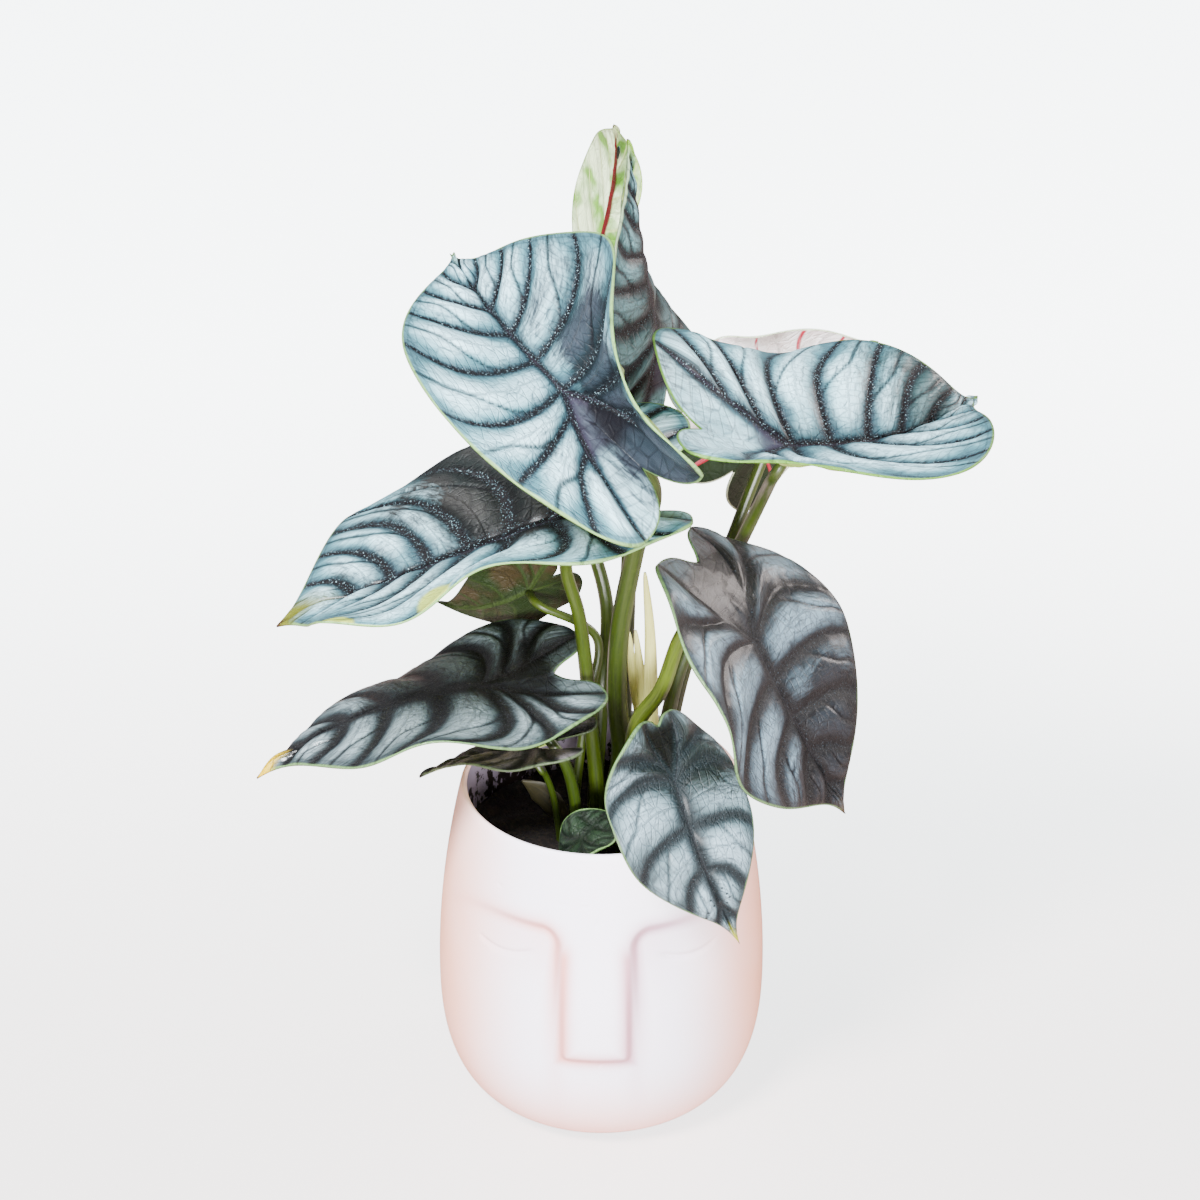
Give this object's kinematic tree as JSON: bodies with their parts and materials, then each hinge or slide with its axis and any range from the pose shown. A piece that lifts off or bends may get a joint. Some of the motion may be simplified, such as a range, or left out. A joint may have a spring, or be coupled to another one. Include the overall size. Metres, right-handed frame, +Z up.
{
  "type": "potted silver dragon alocasia",
  "caption": "Potted alocasia with silvery, dark-veined, shield-shaped leaves on green stalks, in the soil of a round white face pot.",
  "frame": {"origin": "centre of the pot's flat foot", "axes": "+Z up, the pot's face and the front of the picture towards -Y, +X to the viewer's right"},
  "size_m": [0.3193, 0.2665, 0.4382],
  "materials": {
    "pot": "matt white, faintly tinted",
    "soil": "dark damp potting soil",
    "leaf": "silver grey-green with near-black veins, satin",
    "stalk": "olive to yellow-green, slightly shiny",
    "pale_sheath": "cream yellow-green, satin",
    "old_sheath": "dry, dark olive brown"
  },
  "bodies": {
    "root": {"leaf_back_left": "leaf", "leaf_front": "leaf", "leaf_hanging": "leaf", "leaf_left": "leaf", "leaf_low": "leaf", "leaf_lower_left": "leaf", "leaf_right": "leaf", "leaf_right_back": "leaf", "leaf_top": "leaf", "leaf_top_back": "leaf", "leaf_upper_left": "leaf", "leaf_young": "leaf", "old_sheath": "old_sheath", "pale_sheaths": "pale_sheath", "pot": "pot", "soil": "soil", "stalk_back_left": "stalk", "stalk_front": "stalk", "stalk_hanging": "stalk", "stalk_left": "stalk", "stalk_low": "stalk", "stalk_lower_left": "stalk", "stalk_right": "stalk", "stalk_right_back": "stalk", "stalk_top": "stalk", "stalk_top_back": "stalk", "stalk_upper_left": "stalk", "stalk_young": "stalk"}
  },
  "joints": []
}
